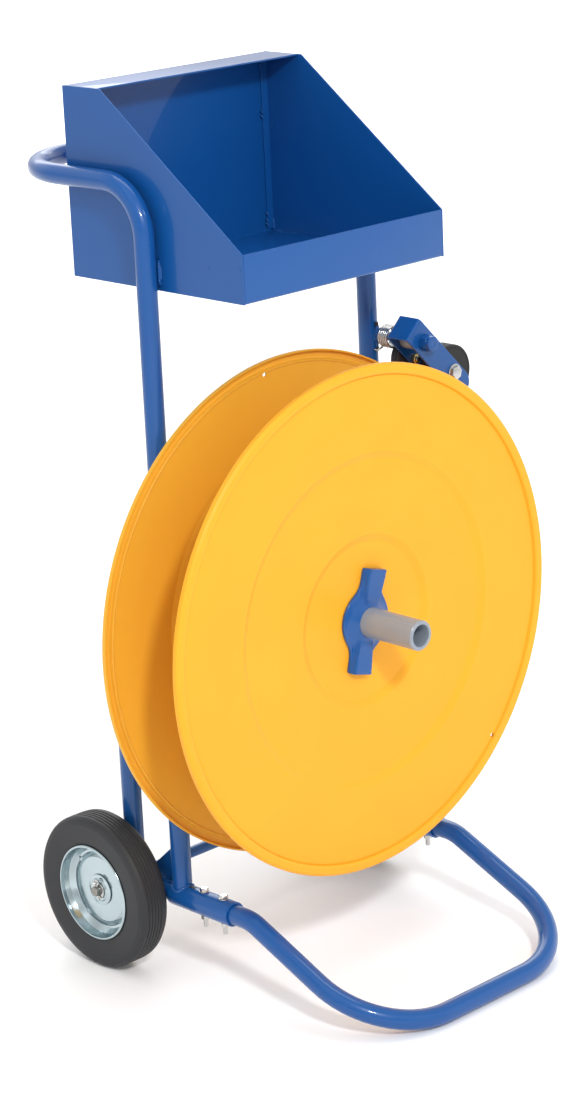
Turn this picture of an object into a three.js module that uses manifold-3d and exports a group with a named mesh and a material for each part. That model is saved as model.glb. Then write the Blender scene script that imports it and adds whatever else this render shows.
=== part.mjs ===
// A strapping dispenser cart: bent tube frame, tool tray, coil reel, brake arm, foot loop and wheels.
// Millimetres, +Z up. The front, with the reel and the open side of the tray, faces -Y.
import * as THREE from "three";
import { mergeVertices } from "three/addons/utils/BufferGeometryUtils.js";
import Module from "manifold-3d";

const wasm = await Module();
wasm.setup();

// ---------------------------------------------------------------- driving dimensions
const gap = 0.3; // left between two pieces that touch

// Frame tube. The uprights stand at depth 0, at sideX left and right of the middle.
const sideX = 186;
const tubeR = 12.7;
const tubeWall = 1.65;
const handleRise = 129; // of the handle over the tray's floor
const handleY = 264; // depth of the rear handle bar
const uprightBendR = 64;
const cornerBendR = 114;

// Sleeves, and the foot loop that plugs into them.
const sleeveWall = 2.9;
const sleeveR = tubeR + gap + sleeveWall;
const sleeveZ = 109;
const sleeveFrontY = -96;
const sleevePast = 1.3; // the sleeves, past the uprights' backs
const footFrontY = -347;
const footKneeY = -126;
const kneeBendR = 60;
const boltYs = [-41, -77];
const boltR = 3.1;
const hexAcross = 10;

// Side loops, gussets and axle.
const loopRearY = 88.5;
const loopTopZ = 430;
const loopLowBendR = 50;
const gussetRise = 50;
const gussetReach = 56;
const plateThick = 5;
const axleR = 6.35;
const axleY = 108;
const axleInset = 5; // of the axle's ends behind the tyres' outer faces

// Wheels.
const wheelR = 101.6;
const tyreWidth = 44.5;
const tyreBoreR = 63.4;
const wheelRoom = 1.6; // between a sleeve and the tyre beside it
const hubBarrelR = 16;
const hubCapR = 21;
const hubReach = 9; // how far the barrel runs past the tyre towards the frame
const cotterR = 1.6;

// Tray.
const trayRoom = 2.8; // between the tray's side and the frame tube
const trayBackY = 152.5;
const trayFrontY = -152.5;
const trayLift = 105; // of the tray over the discs
const trayHeight = 235;
const trayLipH = 59;
const trayFlange = 62;
const traySlopeStart = 68;
const sheet = 1.9;
const returnFlange = 12;
const returnFlangeLift = 3; // clear of the floor

// Reel.
const reelLift = 136; // of the discs over the floor
const discR = 324;
const discSheet = 2;
const stepH = 4.5;
const outerStepR = 210;
const innerStepR = 108;
const stepRun = 8;
const beadH = 4;
const beadWidth = 14;
const coilWidth = 129; // between the two discs' rims
const rimBehindYoke = 15.5;
const strapHoleInset = 17; // from the rim
const strapHoleAngles = { front: -0.773, back: 1.695 };
const spindleR = 19.05;
const spindleBoreR = 14;
const spindleFrontY = -255.5;
const spindleRearY = 48;
const spindleFit = 0.5;
const postR = 9.5;
const postCircleR = 190;
const postCount = 3;
const hubFlangeR = 55;

// Spindle housing.
const housingR = 30;
const housingBoreR = 25;
const housingFrontY = -34;
const housingRearY = 30;
const bushLength = 16;
const bushFlangeThick = 3;
const collarLength = 10;

// Wing nut.
const nutHubR = 40;
const nutThick = 13;
const nutReach = 68;
const nutEarWidth = 36;
const nutTurnDeg = 15; // clockwise, seen from the front

// Brake arm.
const brakeOut = 10; // the pivot, out from the upright's centre line
const brakeLift = 40; // the pivot, above the rim of the discs
const yokeAway = 40.8; // from the frame tube
const yokeWidth = 37;
const yokeSheet = 3;
const yokeDepth = 34;
const yokePivotAlong = 28.5; // from the web to the pivot
const yokeRollerAlong = 101.5; // from the web to the guide roller
const yokeRollerAcross = 3.5;
const yokeLength = 121; // from the web to the centre of the rounded end
const yokeAngleDeg = -45.5;
const pivotBoltR = 6;
const bigHexAcross = 19;
const guideRollerR = 35.5;
const rollerRoom = 1.5; // between the roller and the yoke
const brakeWheelR = 25.4;
const brakeWheelWidth = 14;
const brakeWheelAway = 33; // from the pivot
const smallBoltR = 4;
const springWireR = 1.5;
const springCoilR = 13.8;
const springLength = 17;
const springTurns = 5.5;
const pinR = 2;
const pinHalf = 19;

// ---------------------------------------------------------------- places that follow from the sizes
const wheelInnerX = sideX + sleeveR + wheelRoom;
const axleHalf = wheelInnerX + tyreWidth - axleInset;
const reelZ = reelLift + discR;
const trayHalfX = sideX - tubeR - trayRoom;
const trayBottomZ = reelZ + discR + trayLift;
const trayTopZ = trayBottomZ + trayHeight;
const handleZ = trayBottomZ + handleRise;
const sleeveRearY = tubeR + sleevePast;
const yokeRearY = -tubeR - yokeAway;
const backDiscY = yokeRearY + rimBehindYoke;
const frontDiscY = backDiscY - coilWidth;

// ---------------------------------------------------------------- materials
const paint = (color, roughness = 0.35) =>
  new THREE.MeshStandardMaterial({ color, roughness, metalness: 0 });
const metal = (color, roughness = 0.35) =>
  new THREE.MeshStandardMaterial({ color, roughness, metalness: 1 });
const blue = paint(0x2864ae);
const yellow = paint(0xffc232);
const zinc = metal(0xc6d2d6);
const steel = metal(0x9a9a98, 0.45);
const rubber = paint(0x2a2a2c, 0.8);
const nylon = paint(0xd8d6cc, 0.5);
const brass = metal(0xc7a54e);

// ---------------------------------------------------------------- helpers
const root = new THREE.Group();
const cart = new THREE.Group();
root.add(cart);

// A geometry as a manifold solid, facing out whichever way its faces were wound.
function solid(geometry) {
  geometry.deleteAttribute("normal");
  geometry.deleteAttribute("uv");
  const merged = mergeVertices(geometry, 1e-4);
  const triVerts = new Uint32Array(merged.index.array);
  const build = () =>
    new wasm.Manifold(
      new wasm.Mesh({
        numProp: 3,
        vertProperties: merged.attributes.position.array,
        triVerts,
      }),
    );
  const made = build();
  if (made.volume() >= 0) return made;
  for (let i = 0; i < triVerts.length; i += 3) {
    [triVerts[i + 1], triVerts[i + 2]] = [triVerts[i + 2], triVerts[i + 1]];
  }
  return build();
}

function add(name, body, material) {
  const data = body.getMesh();
  const geometry = new THREE.BufferGeometry();
  geometry.setAttribute(
    "position",
    new THREE.BufferAttribute(data.vertProperties, 3),
  );
  geometry.setIndex(new THREE.BufferAttribute(data.triVerts, 1));
  geometry.computeVertexNormals();
  const mesh = new THREE.Mesh(geometry, material);
  mesh.name = name;
  cart.add(mesh);
}

const union = (...bodies) => bodies.reduce((a, b) => a.add(b));
const vec = (x, y, z) => new THREE.Vector3(x, y, z);
const turnTo = { x: (g) => g.rotateZ(-Math.PI / 2), y: (g) => g, z: (g) => g.rotateX(Math.PI / 2) };
const place = (g, axis, at) => turnTo[axis](g).translate(at.x, at.y, at.z);

// A cylinder or hexagon of radius r centred on at, along an axis.
function rod(axis, at, r, length, sides = 24) {
  const geometry = new THREE.CylinderGeometry(r, r, length, sides);
  return solid(place(geometry, axis, at));
}

// A closed profile of [radius, height] points turned about an axis through at.
function turned(axis, at, profile, segments = 32) {
  const points = [...profile, profile[0]].map(([r, h]) => new THREE.Vector2(r, h));
  return solid(place(new THREE.LatheGeometry(points, segments), axis, at));
}

// A plain ring, from height h0 to h1.
const ring = (axis, at, outer, bore, h0, h1, segments = 24) =>
  turned(axis, at, [[outer, h0], [outer, h1], [bore, h1], [bore, h0]], segments);

// A hexagon prism with a given width across its flats.
const hex = (axis, at, across, length) =>
  rod(axis, at, across / Math.sqrt(3), length, 6);

const outline = (points) =>
  new THREE.Shape(points.map(([a, b]) => new THREE.Vector2(a, b)));

// A flat plate standing along Y, with an outline of [y, z], from x0 to x0 + thick.
function plateYZ(shape, x0, thick) {
  const geometry = new THREE.ExtrudeGeometry(shape, {
    depth: thick,
    bevelEnabled: false,
    curveSegments: 8,
  });
  const basis = new THREE.Matrix4().makeBasis(vec(0, 1, 0), vec(0, 0, 1), vec(1, 0, 0));
  return solid(geometry.applyMatrix4(basis).translate(x0, 0, 0));
}

// A flat plate standing along X, with an outline of [x, z], from y0 to y0 + thick.
function plateXZ(shape, y0, thick) {
  const geometry = new THREE.ExtrudeGeometry(shape, {
    depth: thick,
    bevelEnabled: false,
    curveSegments: 10,
  });
  const basis = new THREE.Matrix4().makeBasis(vec(1, 0, 0), vec(0, 0, 1), vec(0, -1, 0));
  return solid(geometry.applyMatrix4(basis).translate(0, y0 + thick, 0));
}

const box = (x0, x1, y0, y1, z0, z1) =>
  solid(
    new THREE.BoxGeometry(x1 - x0, y1 - y0, z1 - z0).translate(
      (x0 + x1) / 2,
      (y0 + y1) / 2,
      (z0 + z1) / 2,
    ),
  );

// The centre line of a bent tube: straight runs between corners, each corner rounded to its radius.
// It has a station at each end of a bend and every few degrees in it, and none along a straight.
class BentPath extends THREE.Curve {
  constructor(corners, radii, stepDeg = 18) {
    super();
    this.points = [corners[0].clone()];
    this.tangents = [corners[1].clone().sub(corners[0]).normalize()];
    for (let i = 1; i < corners.length - 1; i++) {
      const before = corners[i].clone().sub(corners[i - 1]).normalize();
      const after = corners[i + 1].clone().sub(corners[i]).normalize();
      const turn = before.angleTo(after);
      const radius = radii[i - 1];
      const start = corners[i].clone().addScaledVector(before, -radius * Math.tan(turn / 2));
      const inward = after.clone().addScaledVector(before, -before.dot(after)).normalize();
      const centre = start.clone().addScaledVector(inward, radius);
      const steps = Math.max(2, Math.round(THREE.MathUtils.radToDeg(turn) / stepDeg));
      for (let k = 0; k <= steps; k++) {
        const a = (turn * k) / steps;
        const out = inward.clone().multiplyScalar(-Math.cos(a)).addScaledVector(before, Math.sin(a));
        this.points.push(centre.clone().addScaledVector(out, radius));
        this.tangents.push(
          before.clone().multiplyScalar(Math.cos(a)).addScaledVector(inward, Math.sin(a)),
        );
      }
    }
    this.points.push(corners.at(-1).clone());
    this.tangents.push(this.tangents.at(-1).clone());
  }
  get steps() {
    return this.points.length - 1;
  }
  getPointAt(u) {
    return this.points[Math.round(u * this.steps)].clone();
  }
  getTangentAt(u) {
    return this.tangents[Math.round(u * this.steps)].clone();
  }
}

// A tube of outer radius r along a path; a wall of 0 makes it solid.
function tube(path, r, wall, sides = 12) {
  const shape = new THREE.Shape();
  const circle = (radius) =>
    Array.from({ length: sides }, (_, i) => {
      const a = (i * 2 * Math.PI) / sides;
      return new THREE.Vector2(radius * Math.cos(a), radius * Math.sin(a));
    });
  shape.setFromPoints(circle(r));
  if (wall > 0) shape.holes.push(new THREE.Path(circle(r - wall)));
  return solid(
    new THREE.ExtrudeGeometry(shape, {
      steps: path.steps,
      extrudePath: path,
      bevelEnabled: false,
    }),
  );
}

const straight = (from, to) => new BentPath([from, to], []);
const sides = [
  ["left", -1],
  ["right", 1],
];

// ---------------------------------------------------------------- frame
const sleeveSpace = (s) =>
  rod("y", vec(s * sideX, 0, sleeveZ), sleeveR + gap, 400, 32);
const uprightSpace = (s) =>
  rod("z", vec(s * sideX, 0, (sleeveZ + handleZ) / 2), tubeR + gap, handleZ - sleeveZ, 32);

// The uprights and the handle are one tube, with its feet shaped to the sleeves.
const framePath = new BentPath(
  [
    vec(-sideX, 0, sleeveZ),
    vec(-sideX, 0, handleZ),
    vec(-sideX, handleY, handleZ),
    vec(sideX, handleY, handleZ),
    vec(sideX, 0, handleZ),
    vec(sideX, 0, sleeveZ),
  ],
  [uprightBendR, cornerBendR, cornerBendR, uprightBendR],
);
add(
  "handle_frame",
  tube(framePath, tubeR, tubeWall).subtract(sleeveSpace(-1)).subtract(sleeveSpace(1)),
  blue,
);

// Foot loop, with its ends in the sleeves.
const footZ = tubeR;
const footStartY = sleeveRearY - 30;
const footPath = new BentPath(
  [
    vec(-sideX, footStartY, sleeveZ),
    vec(-sideX, footKneeY, sleeveZ),
    vec(-sideX, footFrontY, footZ),
    vec(sideX, footFrontY, footZ),
    vec(sideX, footKneeY, sleeveZ),
    vec(sideX, footStartY, sleeveZ),
  ],
  [kneeBendR, cornerBendR, cornerBendR, kneeBendR],
);
let footLoop = tube(footPath, tubeR, tubeWall);

// Side loops: from the sleeve back, up behind the upright and forward to it.
const loopPath = (s) =>
  new BentPath(
    [
      vec(s * sideX, footStartY + gap * 4, sleeveZ),
      vec(s * sideX, loopRearY, sleeveZ),
      vec(s * sideX, loopRearY, loopTopZ),
      vec(s * sideX, 0, loopTopZ),
    ],
    [loopLowBendR, uprightBendR],
  );

const boltLength = 2 * sleeveR + 16;
const headH = 4.5;
const nutH = 5.5;
for (const [side, s] of sides) {
  let sleeve = ring(
    "y",
    vec(s * sideX, 0, sleeveZ),
    sleeveR,
    sleeveR - sleeveWall,
    sleeveFrontY,
    sleeveRearY,
    20,
  );
  boltYs.forEach((y, i) => {
    const hole = rod("z", vec(s * sideX, y, sleeveZ), boltR + 0.4, 3 * sleeveR, 16);
    sleeve = sleeve.subtract(hole);
    footLoop = footLoop.subtract(hole);
    const headZ = sleeveZ + sleeveR + gap;
    const shank = rod("z", vec(s * sideX, y, headZ - boltLength / 2), boltR, boltLength, 12);
    const head = hex("z", vec(s * sideX, y, headZ + headH / 2), hexAcross, headH);
    add(`${side}_foot_bolt_${i + 1}`, union(head, shank), zinc);
    const nutZ = sleeveZ - sleeveR - gap - nutH / 2;
    const bore = rod("z", vec(s * sideX, y, nutZ), boltR + gap, nutH * 2, 12);
    const nut = hex("z", vec(s * sideX, y, nutZ), hexAcross, nutH).subtract(bore);
    add(`${side}_foot_nut_${i + 1}`, nut, zinc);
  });
  add(`${side}_sleeve`, sleeve, blue);

  const loop = tube(loopPath(s), tubeR, tubeWall).subtract(uprightSpace(s));
  add(`${side}_side_loop`, loop, blue);

  // The gusset fills the corner between the upright and the loop's lower run.
  const loopSpace = tube(loopPath(s), tubeR + gap, 0, 24);
  const gussetBase = sleeveZ + tubeR;
  const gussetOutline = outline([
    [tubeR + gap, sleeveZ],
    [tubeR + gap + gussetReach, sleeveZ],
    [tubeR + gap + gussetReach, gussetBase],
    [tubeR + gap, gussetBase + gussetRise],
  ]);
  const gusset = plateYZ(gussetOutline, s * sideX - plateThick / 2, plateThick)
    .subtract(loopSpace)
    .subtract(sleeveSpace(s).intersect(box(-400, 400, sleeveFrontY, sleeveRearY + gap, 0, 400)));
  add(`${side}_gusset`, gusset, blue);

  // The bracket hangs on the outside of the loop's lower bend and holds the axle.
  const eyeR = axleR + 8;
  const bendY = loopRearY - loopLowBendR;
  const bendZ = sleeveZ + loopLowBendR;
  const bracketOutline = new THREE.Shape();
  bracketOutline.moveTo(bendY + 6, sleeveZ + 1);
  bracketOutline.lineTo(axleY - 0.35 * eyeR, wheelR - 0.94 * eyeR);
  bracketOutline.absarc(axleY, wheelR, eyeR, -0.61 * Math.PI, 0.22 * Math.PI);
  bracketOutline.lineTo(loopRearY - 1, bendZ - 9);
  const axleHole = rod("x", vec(s * sideX, axleY, wheelR), axleR + gap, 40);
  const bracket = plateYZ(bracketOutline, s * sideX - plateThick / 2, plateThick)
    .subtract(loopSpace)
    .subtract(axleHole);
  add(`${side}_axle_bracket`, bracket, blue);

  // Cross tubes carry the spindle housing between the uprights.
  const housingSpace = rod("y", vec(0, 0, reelZ), housingR + gap, 200, 48);
  const crossTube = tube(straight(vec(0, 0, reelZ), vec(s * sideX, 0, reelZ)), tubeR, tubeWall)
    .subtract(housingSpace)
    .subtract(uprightSpace(s));
  add(`${side}_cross_tube`, crossTube, blue);
}
add("foot_loop", footLoop, blue);

const cotterX = axleHalf - 4;
const cotterHoles = sides.map(([, s]) =>
  rod("z", vec(s * cotterX, axleY, wheelR), cotterR + gap, 40, 10),
);
add(
  "axle",
  rod("x", vec(0, axleY, wheelR), axleR, 2 * axleHalf, 24)
    .subtract(cotterHoles[0])
    .subtract(cotterHoles[1]),
  steel,
);

// ---------------------------------------------------------------- spindle housing
const reelAxis = vec(0, 0, reelZ);
add(
  "spindle_housing",
  ring("y", reelAxis, housingR, housingBoreR, housingFrontY, housingRearY, 28),
  blue,
);
const bushProfile = (face, out) => [
  [spindleR + spindleFit, face + out * bushFlangeThick],
  [housingR - 1, face + out * bushFlangeThick],
  [housingR - 1, face + out * gap],
  [housingBoreR - gap, face + out * gap],
  [housingBoreR - gap, face - out * bushLength],
  [spindleR + spindleFit, face - out * bushLength],
];
add("front_bush", turned("y", reelAxis, bushProfile(housingFrontY, -1), 24), nylon);
add("rear_bush", turned("y", reelAxis, bushProfile(housingRearY, 1), 24), nylon);

// ---------------------------------------------------------------- tray
const trayInX = trayHalfX - sheet - gap;
const trayShell = outline([
  [trayFrontY, trayBottomZ],
  [trayBackY, trayBottomZ],
  [trayBackY, trayTopZ],
  [trayBackY - trayFlange, trayTopZ],
  [trayBackY - trayFlange, trayTopZ - sheet],
  [trayBackY - sheet, trayTopZ - sheet],
  [trayBackY - sheet, trayBottomZ + sheet],
  [trayFrontY + sheet, trayBottomZ + sheet],
  [trayFrontY + sheet, trayBottomZ + trayLipH],
  [trayFrontY, trayBottomZ + trayLipH],
]);
add("tray_shell", plateYZ(trayShell, -trayInX, 2 * trayInX), blue);
for (const [side, s] of sides) {
  const panel = plateYZ(
    outline([
      [trayFrontY, trayBottomZ],
      [trayBackY, trayBottomZ],
      [trayBackY, trayTopZ],
      [trayBackY - traySlopeStart, trayTopZ],
      [trayFrontY, trayBottomZ + trayLipH],
    ]),
    s > 0 ? trayHalfX - sheet : -trayHalfX,
    sheet,
  );
  const flangeIn = s * (trayHalfX - returnFlange);
  const flangeOut = s * (trayHalfX - sheet / 2);
  const flangeY = trayBackY - sheet - gap;
  const inner = box(
    Math.min(flangeIn, flangeOut),
    Math.max(flangeIn, flangeOut),
    flangeY - sheet,
    flangeY,
    trayBottomZ + sheet + returnFlangeLift,
    trayTopZ - sheet - gap,
  );
  add(`tray_${side}_side`, union(panel, inner), blue);

  // A pad between the upright and the side panel, where the tray is welded on.
  const padIn = trayHalfX + gap;
  const padOut = sideX - tubeR + 4;
  const pad = box(
    s > 0 ? padIn : -padOut,
    s > 0 ? padOut : -padIn,
    -tubeR,
    tubeR,
    trayBottomZ + 8,
    trayBottomZ + 38,
  ).subtract(uprightSpace(s));
  add(`tray_${side}_pad`, pad, blue);
}

// ---------------------------------------------------------------- reel
// A pressed disc: flat outside, two steps towards the coil, and a rolled bead at the rim.
// Heights run from the flat towards the coil.
const half = stepRun / 2;
const beadIn = discR - beadWidth;
const discProfile = [
  [spindleR + gap, 2 * stepH],
  [innerStepR - half, 2 * stepH],
  [innerStepR + half, stepH],
  [outerStepR - half, stepH],
  [outerStepR + half, 0],
  [beadIn, 0],
  [beadIn + 5, -beadH],
  [discR - 3, -beadH],
  [discR, stepH],
  [discR - discSheet, stepH],
  [discR - 5, -beadH + discSheet],
  [beadIn + 6, -beadH + discSheet],
  [beadIn + 1, discSheet],
  [outerStepR + half, discSheet],
  [outerStepR - half, stepH + discSheet],
  [innerStepR + half, stepH + discSheet],
  [innerStepR - half, 2 * stepH + discSheet],
  [spindleR + gap, 2 * stepH + discSheet],
];
const flip = (profile) => profile.map(([r, h]) => [r, -h]);
function disc(name, y, profile, holeAngle) {
  const r = discR - strapHoleInset;
  const holeAt = vec(r * Math.cos(holeAngle), y, reelZ + r * Math.sin(holeAngle));
  add(name, turned("y", vec(0, y, reelZ), profile, 44).subtract(rod("y", holeAt, 3, 20, 12)), yellow);
}
disc("back_disc", backDiscY, flip(discProfile), strapHoleAngles.back);
disc("front_disc", frontDiscY, discProfile, strapHoleAngles.front);

const spindleMiddleY = (spindleFrontY + spindleRearY) / 2;
add(
  "spindle",
  rod("y", vec(0, spindleMiddleY, reelZ), spindleR, spindleRearY - spindleFrontY, 32).subtract(
    rod("y", vec(0, spindleMiddleY, reelZ), spindleBoreR, 2 * spindleRearY - 2 * spindleFrontY, 24),
  ),
  steel,
);
const backCentreY = backDiscY - 2 * stepH;
const hubBackY = housingFrontY - bushFlangeThick - gap;
add(
  "hub_flange",
  ring("y", reelAxis, hubFlangeR, spindleR + gap, backCentreY + gap, hubBackY, 28),
  steel,
);
const collarY = housingRearY + bushFlangeThick + gap;
add(
  "spindle_collar",
  ring("y", reelAxis, housingR - 2, spindleR + gap, collarY, collarY + collarLength, 28),
  steel,
);

const postBackY = backDiscY - stepH - discSheet - gap;
const postFrontY = frontDiscY + stepH + discSheet + gap;
for (let i = 0; i < postCount; i++) {
  const a = Math.PI / 2 + (i * 2 * Math.PI) / postCount;
  const at = vec(postCircleR * Math.cos(a), 0, reelZ + postCircleR * Math.sin(a));
  add(`core_post_${i + 1}`, ring("y", at, postR, postR - 1.6, postFrontY, postBackY, 16), yellow);
}

// The wing nut: a domed round boss and two flat ears that flare towards their tips.
const nutBackY = frontDiscY + 2 * stepH - gap;
const nutBoss = turned(
  "y",
  vec(0, nutBackY, reelZ),
  [
    [spindleR + gap, 0],
    [nutHubR, 0],
    [nutHubR, -4],
    [nutHubR - 6, -8],
    [spindleR + 6, -nutThick],
    [spindleR + gap, -nutThick],
  ],
  28,
);
const earRoot = nutHubR - 12;
const earOutline = (s) =>
  outline([
    [-0.36 * nutEarWidth, s * earRoot],
    [-0.5 * nutEarWidth, s * nutReach],
    [0.5 * nutEarWidth, s * nutReach],
    [0.36 * nutEarWidth, s * earRoot],
  ]);
const ear = (s) =>
  plateXZ(earOutline(s), nutBackY - nutThick, nutThick - 2)
    .rotate([0, nutTurnDeg, 0])
    .translate([0, 0, reelZ]);
const ears = union(ear(1), ear(-1));
add("wing_nut", union(nutBoss, ears), blue);

// ---------------------------------------------------------------- brake arm
const brakeX = sideX + brakeOut;
const pivotReach = discR + brakeLift;
const brakeZ = reelZ + Math.sqrt(pivotReach ** 2 - brakeX ** 2);

// The yoke's own plane: a runs from the web along the arm, b across it.
const yokeTurn = THREE.MathUtils.degToRad(yokeAngleDeg);
const onYoke = (a, b) => [
  brakeX + (a - yokePivotAlong) * Math.cos(yokeTurn) - b * Math.sin(yokeTurn),
  brakeZ + (a - yokePivotAlong) * Math.sin(yokeTurn) + b * Math.cos(yokeTurn),
];
const halfDepth = yokeDepth / 2;
const yokeFrontY = yokeRearY - yokeWidth;
const flangeOutline = new THREE.Shape();
flangeOutline.moveTo(...onYoke(0, -halfDepth));
flangeOutline.lineTo(...onYoke(yokeLength, -halfDepth));
flangeOutline.absarc(
  ...onYoke(yokeLength, 0),
  halfDepth,
  yokeTurn - Math.PI / 2,
  yokeTurn + Math.PI / 2,
);
flangeOutline.lineTo(...onYoke(0, halfDepth));
const webOutline = outline([
  onYoke(0, -halfDepth),
  onYoke(yokeSheet, -halfDepth),
  onYoke(yokeSheet, halfDepth),
  onYoke(0, halfDepth),
]);

// The brake wheel rests on the rim of the back disc, a set distance from the pivot.
const brakeReach = discR + brakeWheelR + gap;
const brakeTurn =
  Math.acos(brakeX / pivotReach) -
  Math.acos(
    (pivotReach ** 2 + brakeReach ** 2 - brakeWheelAway ** 2) / (2 * pivotReach * brakeReach),
  );
const brakeWheelX = brakeReach * Math.cos(brakeTurn);
const brakeWheelZ = reelZ + brakeReach * Math.sin(brakeTurn);
const [rollerX, rollerZ] = onYoke(yokeRollerAlong, yokeRollerAcross);
const pivotAt = (y) => vec(brakeX, y, brakeZ);
const rollerAt = (y) => vec(rollerX, y, rollerZ);
const brakeWheelAt = (y) => vec(brakeWheelX, y, brakeWheelZ);
const yokeHole = (at, r) => rod("y", at(yokeRearY), r + gap, 3 * yokeWidth, 16);
const yoke = union(
  plateXZ(webOutline, yokeFrontY, yokeWidth),
  plateXZ(flangeOutline, yokeFrontY, yokeSheet),
  plateXZ(flangeOutline, yokeRearY - yokeSheet, yokeSheet),
)
  .subtract(yokeHole(pivotAt, pivotBoltR))
  .subtract(yokeHole(rollerAt, smallBoltR))
  .subtract(rod("y", brakeWheelAt(yokeRearY), smallBoltR + gap, 4 * yokeSheet, 16));
add("brake_yoke", yoke, blue);

// A bolt along Y: its shank from y0 to y1, and its head from h0 to h1.
const boltY = (at, shankR, y0, y1, h0, h1, headSize) =>
  union(
    rod("y", at((y0 + y1) / 2), shankR, y1 - y0, 16),
    hex("y", at((h0 + h1) / 2), headSize, h1 - h0),
  );
const nutY = (at, shankR, h0, h1, size) =>
  hex("y", at((h0 + h1) / 2), size, h1 - h0).subtract(
    rod("y", at((h0 + h1) / 2), shankR + gap, 2 * (h1 - h0), 16),
  );
const headBackY = yokeFrontY - gap;
const studFrontY = -tubeR - 5.5;
const studBoreY = -tubeR;
const pivotBolt = union(
  boltY(pivotAt, pivotBoltR, headBackY - 15, studBoreY - gap, headBackY - 10, headBackY, bigHexAcross),
  rod("y", pivotAt(headBackY - 12), 8.5, 6, 20),
);
add("brake_pivot_bolt", pivotBolt, blue);

// The round boss on the upright, bored for the pivot bolt and for the spring's pin.
const pinX = brakeX - pivotBoltR - gap - pinR - 1;
const pinY = studFrontY + pinR + 0.6;
const brakeBoss = rod("y", pivotAt(studFrontY / 2), 12, -studFrontY, 20)
  .subtract(rod("y", pivotAt(studBoreY - 20), pivotBoltR + gap, 40, 16))
  .subtract(rod("z", vec(pinX, pinY, brakeZ), pinR + gap, 60, 12))
  .subtract(uprightSpace(1));
add("brake_boss", brakeBoss.decompose().sort((a, b) => b.volume() - a.volume())[0], blue);
add("spring_pin", rod("z", vec(pinX, pinY, brakeZ), pinR, 2 * pinHalf, 10), steel);
const innerY = yokeRearY - yokeSheet - gap;
const outerY = yokeFrontY + yokeSheet + gap;
add(
  "pivot_sleeve",
  ring("y", pivotAt(0), 11, pivotBoltR + gap, outerY, innerY, 20),
  steel,
);

// Torsion spring, wound round the pivot bolt in front of the boss.
const springY0 = studFrontY - gap - springWireR;
const springPath = new (class extends THREE.Curve {
  getPoint(t) {
    const a = t * springTurns * 2 * Math.PI;
    return vec(
      brakeX + springCoilR * Math.cos(a),
      springY0 - t * springLength,
      brakeZ + springCoilR * Math.sin(a),
    );
  }
})();
springPath.steps = Math.round(springTurns * 8);
add("brake_spring", tube(springPath, springWireR, 0, 5), zinc);

// A rubber wheel along Y between y0 and y1, with its edges eased.
const rubberWheel = (at, r, y0, y1) =>
  turned(
    "y",
    at(0),
    [
      [smallBoltR + gap, y0],
      [r - 2, y0],
      [r, y0 + 2],
      [r, y1 - 2],
      [r - 2, y1],
      [smallBoltR + gap, y1],
    ],
    28,
  );
const nutFrontY = innerY - 6;
const rollerY0 = outerY + rollerRoom - gap;
const rollerY1 = nutFrontY - gap;
add("guide_roller", rubberWheel(rollerAt, guideRollerR, rollerY0, rollerY1), rubber);
const rollerBoltEndY = yokeRearY + 11;
add(
  "guide_roller_bolt",
  boltY(rollerAt, smallBoltR, headBackY - 5, rollerBoltEndY, headBackY - 6, headBackY, bigHexAcross),
  zinc,
);
add(
  "guide_roller_nut",
  nutY(rollerAt, smallBoltR, yokeRearY + gap, yokeRearY + gap + 7, bigHexAcross - 4),
  zinc,
);

const brakeY0 = yokeRearY + 2;
const brakeY1 = brakeY0 + brakeWheelWidth;
add("brake_wheel", rubberWheel(brakeWheelAt, brakeWheelR, brakeY0, brakeY1), rubber);
add(
  "brake_wheel_bolt",
  boltY(
    brakeWheelAt,
    smallBoltR,
    innerY - 8,
    brakeY1 + 3,
    brakeY1 + gap,
    brakeY1 + gap + 5,
    hexAcross + 2,
  ),
  zinc,
);
add("brake_wheel_nut", nutY(brakeWheelAt, smallBoltR, nutFrontY, innerY, hexAcross + 2), brass);

// ---------------------------------------------------------------- wheels
// Profiles run from the wheel's middle: +h faces away from the frame.
const wheelMid = wheelInnerX + tyreWidth / 2;
const halfTyre = tyreWidth / 2;
const tyreProfile = [
  [tyreBoreR, 18],
  [85, halfTyre - 0.5],
  [94, halfTyre],
  [wheelR, halfTyre - 7],
];
const mirrored = tyreProfile.map(([r, h]) => [r, -h]).reverse();
const rimR = tyreBoreR - gap;
const hubBoreR = hubBarrelR + gap;
const rimProfile = [
  [rimR, 18],
  [rimR, -18],
  [rimR - 2.5, -18],
  [rimR - 9, -4],
  [rimR - 18, -2],
  [hubBoreR, -2],
  [hubBoreR, 6],
  [28, 6],
  [rimR - 18, 2],
  [rimR - 9, 4],
  [rimR - 2.5, 18],
];
const hubCapFace = 9;
const hubProfile = [
  [axleR + gap, -halfTyre - hubReach],
  [hubBarrelR, -halfTyre - hubReach],
  [hubBarrelR, 6 + gap],
  [hubCapR, 6 + gap],
  [hubCapR - 1.5, hubCapFace],
  [axleR + gap, hubCapFace],
];
const washerProfile = [
  [axleR + gap, hubCapFace + gap],
  [axleR + 5.5, hubCapFace + gap],
  [axleR + 5.5, hubCapFace + gap + 2],
  [axleR + gap, hubCapFace + gap + 2],
];
for (const [side, s] of sides) {
  const face = (profile) => profile.map(([r, h]) => [r, s * h]);
  const at = vec(s * wheelMid, axleY, wheelR);
  const tyre = turned("x", at, face([...tyreProfile, ...mirrored]), 32);
  add(`${side}_tyre`, tyre, rubber);
  add(`${side}_rim`, turned("x", at, face(rimProfile), 28), zinc);
  add(`${side}_hub`, turned("x", at, face(hubProfile), 20), steel);
  add(`${side}_washer`, turned("x", at, face(washerProfile), 20), zinc);
  const pin = rod("z", vec(s * cotterX, axleY, wheelR), cotterR, 2 * axleR + 9, 10);
  add(`${side}_cotter_pin`, pin, zinc);
}

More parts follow.
